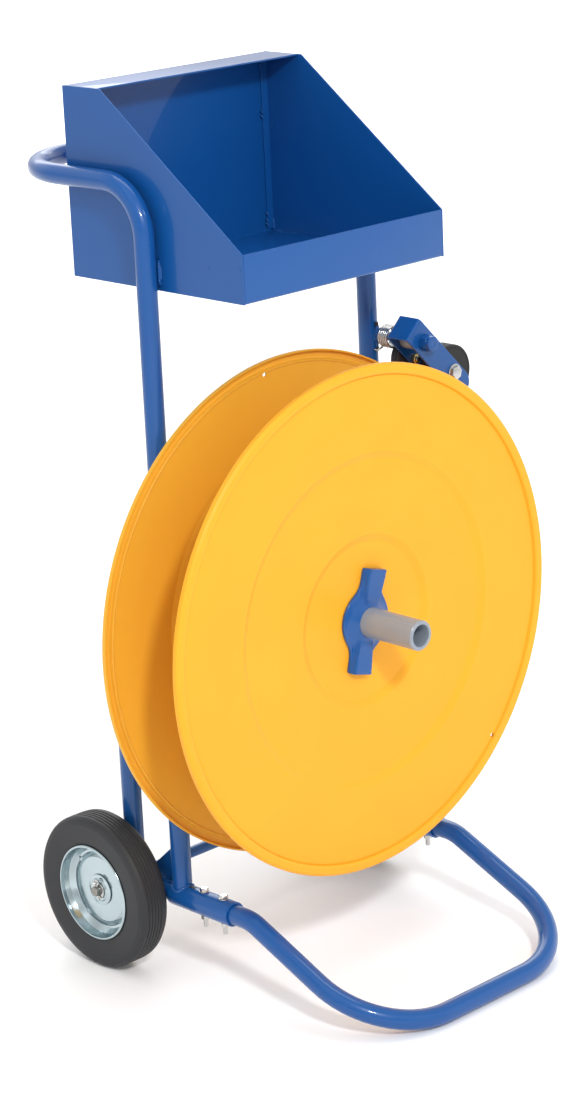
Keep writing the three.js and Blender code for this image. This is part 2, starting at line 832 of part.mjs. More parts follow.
// The part's origin is on the floor, under the middle of its box.
const bounds = new THREE.Box3().setFromObject(cart);
const middle = bounds.getCenter(new THREE.Vector3());
cart.position.set(-middle.x, -middle.y, -bounds.min.z);

export default root;
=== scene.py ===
"""A strapping dispenser cart: painted tube and sheet, dished reel discs, rubber wheels.

All sizes are in millimetres, in the frame of the CAD source: X across, Y from front (-) to back,
Z up from the floor, with the uprights at depth 0. row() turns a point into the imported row's metres.
"""

import math

import bpy
from mathutils import Matrix, Vector


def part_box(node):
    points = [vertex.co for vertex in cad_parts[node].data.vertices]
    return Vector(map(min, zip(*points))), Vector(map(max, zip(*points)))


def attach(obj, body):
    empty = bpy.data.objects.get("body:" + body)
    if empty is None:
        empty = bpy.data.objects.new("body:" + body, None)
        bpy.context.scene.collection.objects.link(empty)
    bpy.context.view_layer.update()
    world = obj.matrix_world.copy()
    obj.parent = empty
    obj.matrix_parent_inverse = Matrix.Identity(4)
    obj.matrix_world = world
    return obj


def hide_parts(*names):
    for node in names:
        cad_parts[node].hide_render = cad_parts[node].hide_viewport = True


MM = 0.001
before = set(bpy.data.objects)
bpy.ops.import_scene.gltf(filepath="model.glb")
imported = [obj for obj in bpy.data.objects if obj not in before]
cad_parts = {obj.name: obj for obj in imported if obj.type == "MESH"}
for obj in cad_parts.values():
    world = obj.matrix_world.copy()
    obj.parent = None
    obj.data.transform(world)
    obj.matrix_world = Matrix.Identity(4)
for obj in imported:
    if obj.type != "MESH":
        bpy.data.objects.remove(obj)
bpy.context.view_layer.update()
scene = bpy.context.scene
SHIFT = sum(corner[1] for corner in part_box("left_cross_tube")) / 2 / MM

# ------------------------------------------------------------------ sizes
SIDE_X = 186
TUBE_R = 12.7
TUBE_BORE = 11.05
HANDLE_Z = 1018
HANDLE_Y = 264
HANDLE_BENDS = [64, 114, 114, 64]
SLEEVE_R = 15.9
SLEEVE_BORE = 13
SLEEVE_Z = 109
SLEEVE_ENDS = (-96, 14)
FOOT_CRANK_Y = -126
FOOT_FRONT_Y = -347
FOOT_BENDS = [60, 114, 114, 60]
BOLT_YS = (-41, -77)
LOOP_Y = 88.5
LOOP_TOP = 430
AXLE_Y = 108
AXLE_HALF = 243
WHEEL_R = 101.6
WHEEL_MID = 225.75
REEL_Z = 460
HOUSING_R = 30
HOUSING_BORE = 25
HOUSING_ENDS = (-34, 30)
DISC_R = 324
FRONT_Y = -167
BACK_Y = -38
SPINDLE_R = 19.05
TRAY_X = 170.5
TRAY_FRONT, TRAY_BACK = -152.5, 152.5
TRAY_LOW, TRAY_TOP = 889, 1124
TRAY_LIP = 59
TRAY_FLANGE = 62
SHEET = 1.9
PLATE = 4.8
PIVOT = (196, 766.7)
YOKE_FRONT, YOKE_REAR = -90.5, -53.5
YOKE_TURN = math.radians(-45.5)
GUIDE_ROLLER_R = 35.4
BRAKE_WHEEL_R = 25.3

# ------------------------------------------------------------------ materials


def node_material(name, color, metallic, roughness):
    mat = bpy.data.materials.new(name)
    mat.use_nodes = True
    nodes = mat.node_tree.nodes
    shader = nodes["Principled BSDF"]
    shader.inputs["Base Color"].default_value = (*color, 1)
    shader.inputs["Metallic"].default_value = metallic
    shader.inputs["Roughness"].default_value = roughness
    return mat, mat.node_tree, shader


def noise(tree, scale, detail=3.0, stretch=None):
    """A noise texture in object space, in cycles per metre, and stretched if asked."""
    coords = tree.nodes.new("ShaderNodeTexCoord")
    mapping = tree.nodes.new("ShaderNodeMapping")
    mapping.inputs["Scale"].default_value = stretch or (1, 1, 1)
    texture = tree.nodes.new("ShaderNodeTexNoise")
    texture.inputs["Scale"].default_value = scale
    texture.inputs["Detail"].default_value = detail
    tree.links.new(coords.outputs["Object"], mapping.inputs["Vector"])
    tree.links.new(mapping.outputs["Vector"], texture.inputs["Vector"])
    return texture.outputs["Fac"]


def ramp(tree, value, low, high):
    """value, from 0 to 1, remapped to lie between low and high."""
    node = tree.nodes.new("ShaderNodeMapRange")
    node.inputs["From Min"].default_value = 0.3
    node.inputs["From Max"].default_value = 0.7
    node.inputs["To Min"].default_value = low
    node.inputs["To Max"].default_value = high
    tree.links.new(value, node.inputs["Value"])
    return node.outputs["Result"]


def add_bump(tree, shader, height, distance, strength):
    bump = tree.nodes.new("ShaderNodeBump")
    bump.inputs["Distance"].default_value = distance
    bump.inputs["Strength"].default_value = strength
    tree.links.new(height, bump.inputs["Height"])
    tree.links.new(bump.outputs["Normal"], shader.inputs["Normal"])


def tint(tree, shader, value, color, spread):
    """Base colour that drifts a little lighter and darker with value."""
    mix = tree.nodes.new("ShaderNodeMix")
    mix.data_type = "RGBA"
    mix.inputs[6].default_value = (*[c * (1 - spread) for c in color], 1)
    mix.inputs[7].default_value = (*[min(1, c * (1 + spread)) for c in color], 1)
    tree.links.new(value, mix.inputs[0])
    tree.links.new(mix.outputs[2], shader.inputs["Base Color"])


def paint(name, color, roughness, coat, orange_peel):
    mat, tree, shader = node_material(name, color, 0.0, roughness)
    shader.inputs["Specular IOR Level"].default_value = 0.25
    shader.inputs["Coat Weight"].default_value = coat
    shader.inputs["Coat Roughness"].default_value = 0.03
    tint(tree, shader, noise(tree, 9), color, 0.05)
    add_bump(tree, shader, noise(tree, 260, 2), 0.0004, orange_peel)
    return mat


def plated(name, color, roughness, stretch=None, metallic=1.0):
    """Plated or bare metal. stretch makes its grain finer along one axis."""
    mat, tree, shader = node_material(name, color, metallic, roughness)
    grain = noise(tree, 90, 4, stretch)
    rough = ramp(tree, grain, roughness * 0.75, roughness * 1.35)
    tree.links.new(rough, shader.inputs["Roughness"])
    tint(tree, shader, noise(tree, 35), color, 0.08)
    add_bump(tree, shader, noise(tree, 400, 2, stretch), 0.0002, 0.15)
    return mat


def rubber(name, color, roughness):
    mat, tree, shader = node_material(name, color, 0.0, roughness)
    shader.inputs["Specular IOR Level"].default_value = 0.4
    tint(tree, shader, noise(tree, 14), color, 0.12)
    add_bump(tree, shader, noise(tree, 700, 3), 0.0003, 0.25)
    return mat


BLUE = paint("blue_paint", (0.005, 0.079, 0.295), 0.3, 0.45, 0.06)
YELLOW = paint("yellow_paint", (0.90, 0.392, 0.02), 0.45, 0.0, 0.06)
INNER_YELLOW = paint("inner_yellow_paint", (0.80, 0.41, 0.034), 0.45, 0.0, 0.06)
ZINC = plated("zinc_plate", (0.46, 0.55, 0.58), 0.16)
BRIGHT = plated("bright_zinc", (0.56, 0.56, 0.55), 0.2)
STEEL = plated("drawn_steel", (0.26, 0.30, 0.35), 0.26, (1, 0.03, 1), 0.0)
AXLE_STEEL = plated("axle_steel", (0.30, 0.29, 0.27), 0.4)
TYRE = rubber("tyre_rubber", (0.023, 0.024, 0.027), 0.55)
RUBBER = rubber("black_rubber", (0.016, 0.016, 0.018), 0.6)
NYLON = node_material("nylon", (0.75, 0.73, 0.66), 0.0, 0.5)[0]
BRASS = plated("yellow_plate", (0.72, 0.55, 0.20), 0.25)
BLACK = node_material("black_tip", (0.012, 0.012, 0.013), 0.0, 0.5)[0]

# ------------------------------------------------------------------ meshes


def row(point):
    return Vector((point[0] * MM, (point[1] + SHIFT) * MM, point[2] * MM))


def make(name, points, faces, material, smooth=32):
    """A mesh from millimetre points, its faces turned outwards."""
    places = [row(p) for p in points]
    volume = 0
    for face in faces:
        first = places[face[0]] - places[0]
        for b, c in zip(face[1:], face[2:]):
            volume += first.dot((places[b] - places[0]).cross(places[c] - places[0]))
    if volume < 0:
        faces = [face[::-1] for face in faces]
    mesh = bpy.data.meshes.new(name)
    mesh.from_pydata(places, [], faces)
    mesh.materials.append(material)
    mesh.polygons.foreach_set("use_smooth", [True] * len(mesh.polygons))
    mesh.set_sharp_from_angle(angle=math.radians(smooth))
    obj = bpy.data.objects.new(name, mesh)
    scene.collection.objects.link(obj)
    return obj


def bevel(obj, width):
    modifier = obj.modifiers.new("edge", "BEVEL")
    modifier.width = width * MM
    modifier.segments = 2
    modifier.limit_method = "ANGLE"
    modifier.angle_limit = math.radians(40)
    return obj


def put(obj, body, *nodes):
    """obj rides on body and stands for nodes, whose CAD parts are hidden."""
    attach(obj, body)
    if nodes:
        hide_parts(*nodes)
    return obj


def fillet(points, radius, steps=4, closed=False):
    """A polyline in 2D with each corner rounded to radius, or less where there is no room."""
    out = []
    count = len(points)
    for i, point in enumerate(points):
        if not closed and i in (0, count - 1):
            out.append(tuple(point))
            continue
        here = Vector(point)
        before, after = Vector(points[i - 1]) - here, Vector(points[(i + 1) % count]) - here
        turn = math.pi - before.angle(after)
        if turn < 0.05:
            out.append(tuple(point))
            continue
        trim = min(radius * math.tan(turn / 2), 0.45 * before.length, 0.45 * after.length)
        start, end = here + before.normalized() * trim, here + after.normalized() * trim
        for k in range(steps + 1):
            t = k / steps
            out.append(tuple(start * (1 - t) ** 2 + here * 2 * t * (1 - t) + end * t * t))
    return out


def offset(points, distance):
    """An open polyline in 2D moved sideways by distance, to its left."""
    out = []
    for i, point in enumerate(points):
        ahead = Vector(points[min(i + 1, len(points) - 1)]) - Vector(point)
        behind = Vector(point) - Vector(points[max(i - 1, 0)])
        normals = [Vector((-d.y, d.x)).normalized() for d in (behind, ahead) if d.length > 1e-9]
        normal = sum(normals, Vector((0, 0))).normalized()
        spread = max(0.5, normal.dot(normals[0]))
        out.append(tuple(Vector(point) + normal * distance / spread))
    return out


def sheet_section(centre_line, thickness):
    """The closed outline of a bent sheet from its centre line."""
    left = offset(centre_line, thickness / 2)
    right = offset(centre_line, -thickness / 2)
    return left + right[::-1]


AXES = {
    "x": (Vector((0, 1, 0)), Vector((0, 0, 1)), Vector((1, 0, 0))),
    "y": (Vector((0, 0, 1)), Vector((1, 0, 0)), Vector((0, 1, 0))),
    "z": (Vector((1, 0, 0)), Vector((0, 1, 0)), Vector((0, 0, 1))),
}


def revolve(name, profile, axis, centre, material, segments, smooth=32):
    """A closed profile of (radius, height) turned about an axis through centre."""
    u, v, w = AXES[axis]
    centre = Vector(centre)
    points, faces = [], []
    size = len(profile)
    for k in range(segments):
        a = 2 * math.pi * k / segments
        out = u * math.cos(a) + v * math.sin(a)
        points += [centre + out * r + w * h for r, h in profile]
    for k in range(segments):
        a, b = k * size, (k + 1) % segments * size
        for i in range(size):
            j = (i + 1) % size
            faces.append((a + i, b + i, b + j, a + j))
    return make(name, points, faces, material, smooth)


def ring(name, axis, centre, outer, bore, low, high, material, ease, segments):
    """A tube or washer between two heights on an axis, its edges eased."""
    profile = fillet([(outer, low), (outer, high), (bore, high), (bore, low)], ease, 2, True)
    return revolve(name, profile, axis, centre, material, segments)


def rod(name, axis, centre, radius, low, high, material, ease, segments):
    """A round bar between two heights on an axis, its edges eased."""
    profile = fillet(
        [(0.05, low), (radius, low), (radius, high), (0.05, high)], ease, 2, True
    )
    return revolve(name, profile, axis, centre, material, segments)


def hexagon(name, axis, centre, across, low, high, material, chamfer, turn):
    """A hexagon head or nut between two heights, chamfered at its high end."""
    u, v, w = AXES[axis]
    centre = Vector(centre)
    corner = across / math.sqrt(3)
    sign = 1 if high > low else -1
    levels = [
        (corner, low),
        (corner, high - sign * chamfer),
        (corner * 0.9, high - sign * chamfer * 0.3),
        (corner * 0.8, high),
    ]
    points, faces = [], []
    for radius, height in levels:
        for k in range(6):
            a = turn + math.pi * k / 3
            points.append(centre + (u * math.cos(a) + v * math.sin(a)) * radius + w * height)
    for level in range(3):
        for k in range(6):
            a, b = level * 6 + k, level * 6 + (k + 1) % 6
            faces.append((a, b, b + 6, a + 6) if sign > 0 else (a, a + 6, b + 6, b))
    top = list(range(18, 24))
    faces.append(tuple(top) if sign > 0 else tuple(top[::-1]))
    faces.append(tuple(range(5, -1, -1)) if sign > 0 else tuple(range(6)))
    return bevel(make(name, points, faces, material, 25), 0.25)


def plate(name, loops, origin, u, v, thickness, material, ease=0.35):
    """A flat plate with rounded edges, its loops in 2D on the u and v axes, centred on origin."""
    curve = bpy.data.curves.new(name, "CURVE")
    curve.dimensions = "2D"
    curve.fill_mode = "BOTH"
    curve.extrude = (thickness / 2 - ease) * MM
    curve.bevel_depth = ease * MM
    curve.bevel_resolution = 2
    curve.offset = -ease * MM
    for loop in loops:
        spline = curve.splines.new("POLY")
        spline.points.add(len(loop) - 1)
        for point, (a, b) in zip(spline.points, loop):
            point.co = (a * MM, b * MM, 0, 1)
        spline.use_cyclic_u = True
    drawn = bpy.data.objects.new(name + "_drawn", curve)
    scene.collection.objects.link(drawn)
    bpy.context.view_layer.update()
    graph = bpy.context.evaluated_depsgraph_get()
    mesh = bpy.data.meshes.new_from_object(drawn.evaluated_get(graph))
    u, v = Vector(u), Vector(v)
    basis = Matrix((u, v, u.cross(v))).transposed().to_4x4()
    mesh.transform(Matrix.Translation(row(origin)) @ basis)
    bpy.data.objects.remove(drawn)
    mesh.name = name
    mesh.materials.clear()
    mesh.materials.append(material)
    mesh.polygons.foreach_set("use_smooth", [True] * len(mesh.polygons))
    mesh.set_sharp_from_angle(angle=math.radians(32))
    obj = bpy.data.objects.new(name, mesh)
    scene.collection.objects.link(obj)
    return obj


def bend(corners, radii, step=5):
    """The points and directions of a bent centre line, with every corner rounded to its radius."""
    corners = [Vector(c) for c in corners]
    points, directions = [corners[0]], [(corners[1] - corners[0]).normalized()]
    for i in range(1, len(corners) - 1):
        before = (corners[i] - corners[i - 1]).normalized()
        after = (corners[i + 1] - corners[i]).normalized()
        turn = before.angle(after)
        start = corners[i] - before * radii[i - 1] * math.tan(turn / 2)
        inward = (after - before * before.dot(after)).normalized()
        centre = start + inward * radii[i - 1]
        steps = max(3, round(math.degrees(turn) / step))
        for k in range(steps + 1):
            a = turn * k / steps
            points.append(centre + (before * math.sin(a) - inward * math.cos(a)) * radii[i - 1])
            directions.append(before * math.cos(a) + inward * math.sin(a))
    points.append(corners[-1])
    directions.append(directions[-1])
    return points, directions


def sweep(name, line, radius, material, sides=32, bore=None, first=None, last=None, closed=False):
    """A round section along a line. radius may be a list, and first and last reshape the ends."""
    points, directions = line
    normal = directions[0].orthogonal().normalized()
    radii = radius if isinstance(radius, list) else [radius] * len(points)
    outer, inner = [], []
    for i, (point, direction) in enumerate(zip(points, directions)):
        normal = (normal - direction * normal.dot(direction)).normalized()
        side = direction.cross(normal)
        around = [
            normal * math.cos(2 * math.pi * k / sides) + side * math.sin(2 * math.pi * k / sides)
            for k in range(sides)
        ]
        shape = first if i == 0 else last if i == len(points) - 1 else None
        outer.append([point + a * radii[i] for a in around])
        inner.append([point + a * (bore or 0) for a in around])
        if shape:
            outer[-1] = [shape(p) for p in outer[-1]]
            inner[-1] = [shape(p) for p in inner[-1]]
    layers = outer + inner[::-1] if bore else outer
    vertices = [p for layer in layers for p in layer]
    faces = []
    count = len(layers)
    for i in range(count if bore or closed else count - 1):
        a, b = i * sides, (i + 1) % count * sides
        for k in range(sides):
            n = (k + 1) % sides
            faces.append((a + k, a + n, b + n, b + k))
    if not bore and not closed:
        faces.append(tuple(range(sides - 1, -1, -1)))
        faces.append(tuple(range((count - 1) * sides, count * sides)))
    return make(name, vertices, faces, material, 40)


def bead(path, size=2.0, closed=False, seed=0.0):
    """A rippled weld bead along a path of points."""
    path = [Vector(p) for p in path]
    if closed:
        path.append(path[0])
    lengths = [(b - a).length for a, b in zip(path, path[1:])]
    total = sum(lengths)
    steps = max(8, int(total / 0.9))
    points = []
    for k in range(steps + (0 if closed else 1)):
        left = total * k / steps
        i = 0
        while i < len(lengths) - 1 and left > lengths[i]:
            left -= lengths[i]
            i += 1
        points.append(path[i].lerp(path[i + 1], min(1, left / max(lengths[i], 1e-6))))
    count = len(points)
    directions, radii = [], []
    for k in range(count):
        ahead = points[(k + 1) % count] if closed else points[min(k + 1, count - 1)]
        behind = points[k - 1] if closed or k else points[0]
        directions.append((ahead - behind).normalized())
        s = total * k / steps
        swell = 0.16 * math.sin(2 * math.pi * s / 2.7) + 0.1 * math.sin(s * 0.31 + seed)
        taper = 1 if closed else min(1, 0.35 + min(s, total - s) / 3)
        radii.append(size * (1 + swell) * taper)
    return sweep("bead", (points, directions), radii, BLUE, 8, closed=closed)


def join(name, objects):
    bpy.ops.object.select_all(action="DESELECT")
    for obj in objects:
        obj.select_set(True)
    bpy.context.view_layer.objects.active = objects[0]
    bpy.ops.object.join()
    objects[0].name = objects[0].data.name = name
    return objects[0]


def circle(count=48):
    return [2 * math.pi * k / count for k in range(count)]


def round_bead(shape, centre, u, v, size, seed=0.0):
    """A closed weld bead around centre, on the radii u and v, moved onto a shape."""
    centre, u, v = Vector(centre), Vector(u), Vector(v)
    path = [shape(centre + u * math.cos(a) + v * math.sin(a)) for a in circle()]
    return bead(path, size, True, seed)


# ------------------------------------------------------------------ frame
SIDES = (("left", -1), ("right", 1))


def on_sleeve(p):
    across = abs(p.x) - SIDE_X
    return Vector((p.x, p.y, SLEEVE_Z + math.sqrt(SLEEVE_R**2 - across**2)))


def on_upright_rear(p):
    across = abs(p.x) - SIDE_X
    return Vector((p.x, math.sqrt(max(0, TUBE_R**2 - across**2)), p.z))


def on_upright_inner(p):
    side = math.copysign(1, p.x)
    return Vector((side * (SIDE_X - math.sqrt(max(0, TUBE_R**2 - p.y**2))), p.y, p.z))


def on_housing(p):
    side = math.copysign(1, p.x)
    return Vector((side * math.sqrt(HOUSING_R**2 - (p.z - REEL_Z) ** 2), p.y, p.z))


handle = bend(
    [
        (-SIDE_X, 0, SLEEVE_Z + SLEEVE_R),
        (-SIDE_X, 0, HANDLE_Z),
        (-SIDE_X, HANDLE_Y, HANDLE_Z),
        (SIDE_X, HANDLE_Y, HANDLE_Z),
        (SIDE_X, 0, HANDLE_Z),
        (SIDE_X, 0, SLEEVE_Z + SLEEVE_R),
    ],
    HANDLE_BENDS,
)
put(
    sweep("handle_tube", handle, TUBE_R, BLUE, bore=TUBE_BORE, first=on_sleeve, last=on_sleeve),
    "frame",
    "handle_frame",
)
foot = bend(
    [
        (-SIDE_X, -16, SLEEVE_Z),
        (-SIDE_X, FOOT_CRANK_Y, SLEEVE_Z),
        (-SIDE_X, FOOT_FRONT_Y, TUBE_R),
        (SIDE_X, FOOT_FRONT_Y, TUBE_R),
        (SIDE_X, FOOT_CRANK_Y, SLEEVE_Z),
        (SIDE_X, -16, SLEEVE_Z),
    ],
    FOOT_BENDS,
)
put(sweep("foot_loop_tube", foot, TUBE_R, BLUE, bore=TUBE_BORE), "frame", "foot_loop")

welds = []
for side, s in SIDES:
    x = s * SIDE_X
    loop = bend(
        [(x, -14.8, SLEEVE_Z), (x, LOOP_Y, SLEEVE_Z), (x, LOOP_Y, LOOP_TOP), (x, 10, LOOP_TOP)],
        [50, 64],
    )
    put(
        sweep(f"{side}_loop_tube", loop, TUBE_R, BLUE, bore=TUBE_BORE, last=on_upright_rear),
        "frame",
        f"{side}_side_loop",
    )
    put(
        ring(
            f"{side}_sleeve_tube",
            "y",
            (x, 0, SLEEVE_Z),
            SLEEVE_R,
            SLEEVE_BORE,
            *SLEEVE_ENDS,
            BLUE,
            0.7,
            64,
        ),
        "frame",
        f"{side}_sleeve",
    )
    for i, y in enumerate(BOLT_YS, 1):
        at = (x, y, SLEEVE_Z)
        put(
            join(
                f"{side}_foot_bolt_{i}_piece",
                [
                    hexagon("head", "z", at, 10, 17, 21, BRIGHT, 0.8, 0.3 * i),
                    ring("washer", "z", at, 6.6, 3.2, 16, 17, BRIGHT, 0.3, 28),
                    rod("shank", "z", at, 3.1, -31.5, 17, BRIGHT, 0.5, 20),
                ],
            ),
            "frame",
            f"{side}_foot_bolt_{i}",
        )
        put(
            hexagon(f"{side}_foot_nut_{i}_piece", "z", at, 10, -16.2, -21.7, BRIGHT, 0.7, 0.5 * i),
            "frame",
            f"{side}_foot_nut_{i}",
        )
    put(
        plate(
            f"{side}_gusset_plate",
            [[(12.4, 118), (60, 118), (66, 124.4), (12.4, 172.2)]],
            (x, 0, 0),
            (0, 1, 0),
            (0, 0, 1),
            PLATE,
            BLUE,
        ),
        "frame",
        f"{side}_gusset",
    )
    eye = [
        (AXLE_Y + 14.3 * math.cos(a), WHEEL_R + 14.3 * math.sin(a))
        for a in [math.pi * (-0.61 + 0.83 * k / 14) for k in range(15)]
    ]
    hole = [(AXLE_Y + 6.6 * math.cos(a), WHEEL_R + 6.6 * math.sin(a)) for a in circle(24)]
    put(
        plate(
            f"{side}_axle_bracket_plate",
            [[(44.5, 110), *eye, (87.5, 150)], hole],
            (x, 0, 0),
            (0, 1, 0),
            (0, 0, 1),
            PLATE,
            BLUE,
        ),
        "frame",
        f"{side}_axle_bracket",
    )
    cross = bend([(s * HOUSING_R, 0, REEL_Z), (x, 0, REEL_Z)], [])
    put(
        sweep(
            f"{side}_cross_piece",
            cross,
            TUBE_R,
            BLUE,
            bore=TUBE_BORE,
            first=on_housing,
            last=on_upright_inner,
        ),
        "frame",
        f"{side}_cross_tube",
    )
    saddle = TUBE_R + 0.6
    # A black strip on top of the sleeve stands in for a slot there, its black painted shade for the
    # slot's dark inside: two rows of points that follow its round.
    columns = 9
    slot_shade = [
        on_sleeve(Vector((x + 0.8 * (j - columns // 2), y, 0))) + Vector((0, 0, 0.12))
        for y in (-25, -14.5)
        for j in range(columns)
    ]
    faces = [(j, j + 1, j + 1 + columns, j + columns) for j in range(columns - 1)]
    put(make(f"{side}_sleeve_slot_shade", slot_shade, faces, BLACK), "frame")
    at_reel = (x, 0, REEL_Z)
    welds += [
        round_bead(on_sleeve, (x, 0, 0), (saddle, 0, 0), (0, saddle, 0), 2.0, s),
        round_bead(on_upright_rear, (x, 0, LOOP_TOP), (TUBE_R, 0, 0), (0, 0, saddle), 1.9, 2 + s),
        round_bead(on_upright_inner, at_reel, (0, TUBE_R, 0), (0, 0, saddle), 1.9, 3 + s),
        round_bead(on_housing, at_reel, (0, saddle, 0), (0, 0, saddle), 2.2, 4 + s),
        bead([(x, 12.6, 172), (x, 12.4, 176)], 1.9),
        bead([(x + 2.6, y, z) for y, z in ((58, 100), (78, 113), (92, 128), (100, 146))], 1.5),
        bead([(s * 173.6, -9, 899), (s * 173.6, -9.4, 925)], 2.1, seed=5 + s),
        bead([(s * 172.6, -11, 903), (s * 172.4, -11, 921)], 1.6, seed=6 + s),
        bead([(s * 173.6, 9, 899), (s * 173.6, 9.4, 925)], 2.1, seed=7 + s),
    ]
    # Both faces of the gusset, up the upright and along the sleeve and the loop.
    for seed, face_x in ((s, x + 2.6), (1 + s, x - 2.6)):
        welds.append(bead([(face_x, 13, 128), (face_x, 12.8, 171)], 1.7, seed=seed))
        foot_of_gusset = ((16, 122), (38, 122.3), (52, 125), (61, 130))
        welds.append(bead([(face_x, y, z) for y, z in foot_of_gusset], 1.6))
    put(
        plate(
            f"tray_{side}_pad_piece",
            [[(-10, 897), (10, 897), (10, 927), (-10, 927)]],
            (s * 172.4, 0, 0),
            (0, 1, 0),
            (0, 0, 1),
            3.0,
            BLUE,
        ),
        "frame",
        f"tray_{side}_pad",
    )

# The axle, painted between the brackets, and what holds each wheel on it.
put(
    ring("axle_painted_part", "x", (0, AXLE_Y, WHEEL_R), 7.4, 6.2, -183, 183, BLUE, 0.4, 40),
    "frame",
)
put(
    rod("axle_rod", "x", (0, AXLE_Y, WHEEL_R), 6.35, -AXLE_HALF, AXLE_HALF, AXLE_STEEL, 1.0, 40),
    "frame",
    "axle",
)

# ------------------------------------------------------------------ wheels
groove_foot = WHEEL_R - 1.4
grooves = []
for g in (12, 7, 2, -3, -8):
    grooves += [(WHEEL_R, g + 1.0), (groove_foot, g + 0.6)]
    grooves += [(groove_foot, g - 0.6), (WHEEL_R, g - 1.0)]
tyre_profile = fillet(
    [
        (63.3, 18.3),
        (66, 19.6),
        (80, 21.3),
        (91, 22.2),
        (97.5, 20.8),
        (101.0, 16.4),
        *grooves,
        (101.0, -16.4),
        (97.5, -20.8),
        (91, -22.2),
        (80, -21.3),
        (66, -19.6),
        (63.3, -18.3),
    ],
    4.0,
    3,
    True,
)
rim_half = fillet(
    [
        (60.6, 20.6),
        (63.0, 20.4),
        (62.2, 15.5),
        (59.5, 8.5),
        (54, 1.9),
        (50, 1.2),
        (46.5, 3.4),
        (43, 5.0),
        (26, 5.2),
        (16.4, 4.6),
    ],
    3.0,
    4,
)
for side, s in SIDES:
    middle = (s * WHEEL_MID, AXLE_Y, WHEEL_R)

    def turned(profile):
        return [(r, s * h) for r, h in profile]

    wheel = f"{side}_wheel"
    put(
        revolve(f"{side}_tyre_piece", turned(tyre_profile), "x", middle, TYRE, 96, 40),
        wheel,
        f"{side}_tyre",
    )
    outer_half = revolve(
        "outer_half", turned(sheet_section(rim_half, 1.6)), "x", middle, ZINC, 96, 50
    )
    inner_half = revolve(
        "inner_half",
        turned(sheet_section([(r, -h) for r, h in rim_half], 1.6)),
        "x",
        middle,
        ZINC,
        96,
        50,
    )
    # Four crimps that hold the halves together, each a short cross of two ridges.
    crimps = []
    for k in range(4):
        a = math.radians(38 + 90 * k)
        out, along = Vector((0, math.cos(a), math.sin(a))), Vector((0, -math.sin(a), math.cos(a)))
        at = Vector(middle) + out * 49.5 + Vector((s * 3.0, 0, 0))
        for way, places, radii in (
            (along, (-5.5, -3, -1, 1, 3, 5.5), [0.5, 1.5, 2.3, 2.3, 1.5, 0.5]),
            (out, (-4.5, -1, 1, 4.5), [0.5, 1.8, 1.8, 0.5]),
        ):
            line = ([at + way * t for t in places], [way] * len(places))
            crimps.append(sweep("crimp", line, radii, ZINC, 12))
    put(join(f"{side}_rim_piece", [outer_half, inner_half, *crimps]), wheel, f"{side}_rim")
    hub_profile = fillet(
        [
            (6.65, -31.6),
            (14.5, -31.6),
            (16, -30),
            (16, 6.2),
            (20.6, 6.2),
            (20.6, 7.6),
            (15.5, 8.2),
            (14.2, 9.6),
            (11, 9.6),
            (10.4, 8.6),
            (6.65, 8.6),
        ],
        0.6,
        3,
        True,
    )
    put(
        revolve(f"{side}_hub_piece", turned(hub_profile), "x", middle, ZINC, 64),
        wheel,
        f"{side}_hub",
    )
    # The axle's washer, outside the hub.
    low, high = sorted((s * 9.8, s * 11.2))
    put(
        ring(f"{side}_washer_piece", "x", middle, 11.4, 6.5, low, high, BRIGHT, 0.4, 48),
        "frame",
        f"{side}_washer",
    )
    # The cotter pin: an eye over the axle, and two legs through it that are bent apart.
    pin_x = s * (AXLE_HALF - 4)
    eye = [
        Vector((pin_x, AXLE_Y + 3.8 * math.sin(a), WHEEL_R + 11.4 - 4.2 * math.cos(a)))
        for a in [math.radians(t) for t in range(25, 340, 15)]
    ]
    legs = []
    for lean in (-1, 1):
        line = [
            (pin_x, AXLE_Y + 1.0 * lean, WHEEL_R + 8),
            (pin_x, AXLE_Y + 1.0 * lean, WHEEL_R - 7),
            (pin_x, AXLE_Y + lean * 5.5, WHEEL_R - 10.5),
        ]
        legs.append(sweep("leg", bend(line, [2.5], 15), 1.1, BRIGHT, 12))
    tangents = [
        (eye[min(i + 1, len(eye) - 1)] - eye[max(i - 1, 0)]).normalized() for i in range(len(eye))
    ]
    legs.append(sweep("eye", (eye, tangents), 1.2, BRIGHT, 12))
    put(join(f"{side}_cotter_piece", legs), "frame", f"{side}_cotter_pin")

# ------------------------------------------------------------------ spindle housing
reel_at = (0, 0, REEL_Z)
put(
    ring(
        "spindle_housing_tube", "y", reel_at, HOUSING_R, HOUSING_BORE, *HOUSING_ENDS, BLUE, 0.8, 72
    ),
    "frame",
    "spindle_housing",
)
for name, face, out in zip(("front_bush", "rear_bush"), HOUSING_ENDS, (-1, 1)):
    profile = fillet(
        [
            (19.5, face + out * 3),
            (29, face + out * 3),
            (29, face + out * 0.3),
            (24.7, face + out * 0.3),
            (24.7, face - out * 16),
            (19.5, face - out * 16),
        ],
        0.5,
        2,
        True,
    )
    put(revolve(name + "_piece", profile, "y", reel_at, NYLON, 64), "frame", name)

# ------------------------------------------------------------------ reel
# A disc's centre line from its hole to its rolled rim, in (radius, height towards the coil).
disc_line = [
    *fillet([(19.6, 10.0), (101.5, 10.0), (111, 5.5), (160, 5.5)], 3.0, 4),
    *fillet([(161, 5.5), (206, 5.5), (215, 1.0), (300, 1.0)], 3.0, 4),
    *fillet(
        [
            (301, 1.0),
            (308.6, 1.0),
            (310.0, 2.8),
            (311.4, -2.2),
            (313.5, -3.0),
            (320, -3.0),
            (323, -0.6),
            (323, 4.4),
        ],
        1.5,
        4,
    ),
]
disc_section = sheet_section(disc_line, 2.0)


